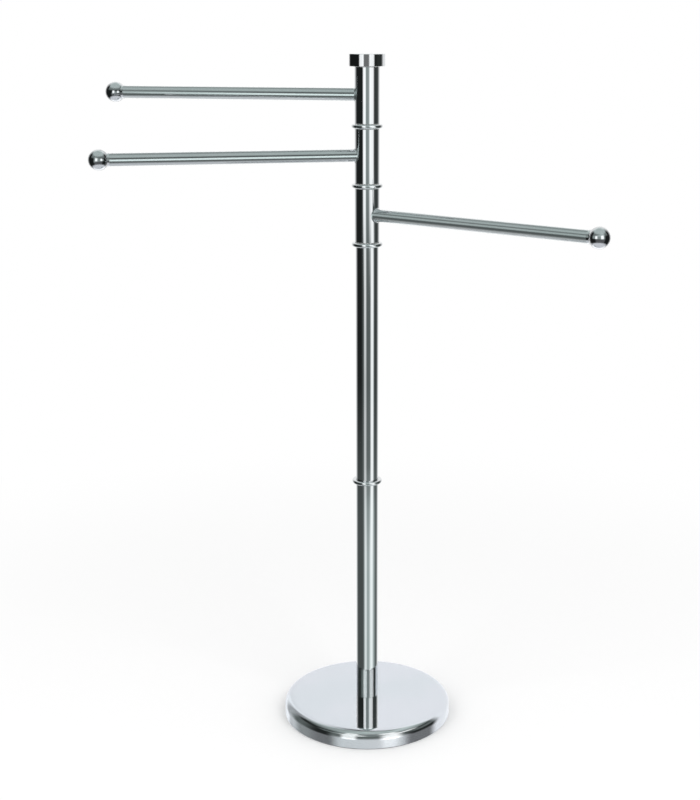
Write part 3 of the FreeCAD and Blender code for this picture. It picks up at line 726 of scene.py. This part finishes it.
def floor_finish():
    """A matt pale floor. For the camera it is lifted a little, and it fades to plain white with
    the distance from the stand."""
    material, tree, shader = new_material("pale_floor")
    link = tree.links.new
    preset(shader, {"Base Color": (FLOOR_TONE, FLOOR_TONE, FLOOR_TONE, 1), "Roughness": 0.9,
                    "Specular IOR Level": 0.0, "Emission Color": (1, 1, 1, 1)})
    camera_ray = tree.nodes.new("ShaderNodeLightPath").outputs["Is Camera Ray"]
    link(math_node(tree, "MULTIPLY", camera_ray, FLOOR_LIFT), shader.inputs["Emission Strength"])
    distance = add(tree, "ShaderNodeVectorMath", operation="LENGTH")
    link(tree.nodes.new("ShaderNodeTexCoord").outputs["Object"], distance.inputs[0])
    fade = smooth_mask(tree, distance.outputs["Value"], FLOOR_PLAIN, FLOOR_WHITE)
    blend = tree.nodes.new("ShaderNodeMixShader")
    link(math_node(tree, "MULTIPLY", camera_ray, fade), blend.inputs[0])
    link(shader.outputs[0], blend.inputs[1])
    link(tree.nodes.new("ShaderNodeEmission").outputs[0], blend.inputs[2])
    link(blend.outputs[0], tree.nodes["Material Output"].inputs["Surface"])
    return material


def floor_piece():
    """The square floor that the stand rests on. The metal doesn't mirror it: it has its rooms."""
    half = FLOOR_SIZE / 2
    mesh = bpy.data.meshes.new("floor")
    mesh.from_pydata([(-half, -half, 0), (half, -half, 0), (half, half, 0), (-half, half, 0)], [],
                     [(0, 1, 2, 3)])
    mesh.materials.append(floor_finish())
    floor = bpy.data.objects.new("floor", mesh)
    bpy.context.scene.collection.objects.link(floor)
    floor.visible_glossy = False


def white_world():
    """White for the camera, a little dimmer as light, and hidden from the metal."""
    world = bpy.data.worlds.new("studio")
    bpy.context.scene.world = world
    world.use_nodes = True
    world.cycles_visibility.glossy = False
    tree = world.node_tree
    background = tree.nodes["Background"]
    background.inputs["Color"].default_value = (1, 1, 1, 1)
    camera_ray = tree.nodes.new("ShaderNodeLightPath").outputs["Is Camera Ray"]
    extra = math_node(tree, "MULTIPLY", camera_ray, 1 - WORLD_LEVEL)
    tree.links.new(math_node(tree, "ADD", extra, WORLD_LEVEL), background.inputs["Strength"])


def area_lamp(name, place, energy):
    """A soft square lamp that looks at the middle of the column and isn't seen in the metal."""
    data = bpy.data.lights.new(name, "AREA")
    data.shape = "SQUARE"
    data.size = LAMP_SIZE
    data.energy = energy
    lamp = bpy.data.objects.new(name, data)
    bpy.context.scene.collection.objects.link(lamp)
    lamp.location = place
    lamp.rotation_euler = (Vector(LAMP_TARGET) - lamp.location).to_track_quat("-Z", "Y").to_euler()
    lamp.visible_glossy = False


floor_piece()
white_world()
area_lamp("key_lamp", place=(1.3, -1.7, 2.2), energy=16)
area_lamp("fill_lamp", place=(-1.6, -1.3, 1.8), energy=9)

# ---------------------------------------------------------------- camera

# Fitted to the photograph, which is IMAGE_WIDTH by IMAGE_HEIGHT pixels.
IMAGE_WIDTH = 700
IMAGE_HEIGHT = 800
FOCAL_PIXELS = 1431.0
COLUMN_PIXEL = 367.1    # the column's place across the picture
SENSOR = 36.0           # millimetres
CAMERA_PLACE = (0, -1.8394, 0.9405)
CAMERA_DIP = 14.87      # degrees below level

camera_data = bpy.data.cameras.new("camera")
camera_data.sensor_width = SENSOR
camera_data.lens = FOCAL_PIXELS / IMAGE_HEIGHT * SENSOR
camera_data.shift_x = (IMAGE_WIDTH / 2 - COLUMN_PIXEL) / IMAGE_HEIGHT
camera = bpy.data.objects.new("camera", camera_data)
bpy.context.scene.collection.objects.link(camera)
camera.location = CAMERA_PLACE
camera.rotation_euler = (math.radians(90 - CAMERA_DIP), 0, 0)
bpy.context.scene.camera = camera
bpy.context.scene.view_settings.view_transform = "Standard"
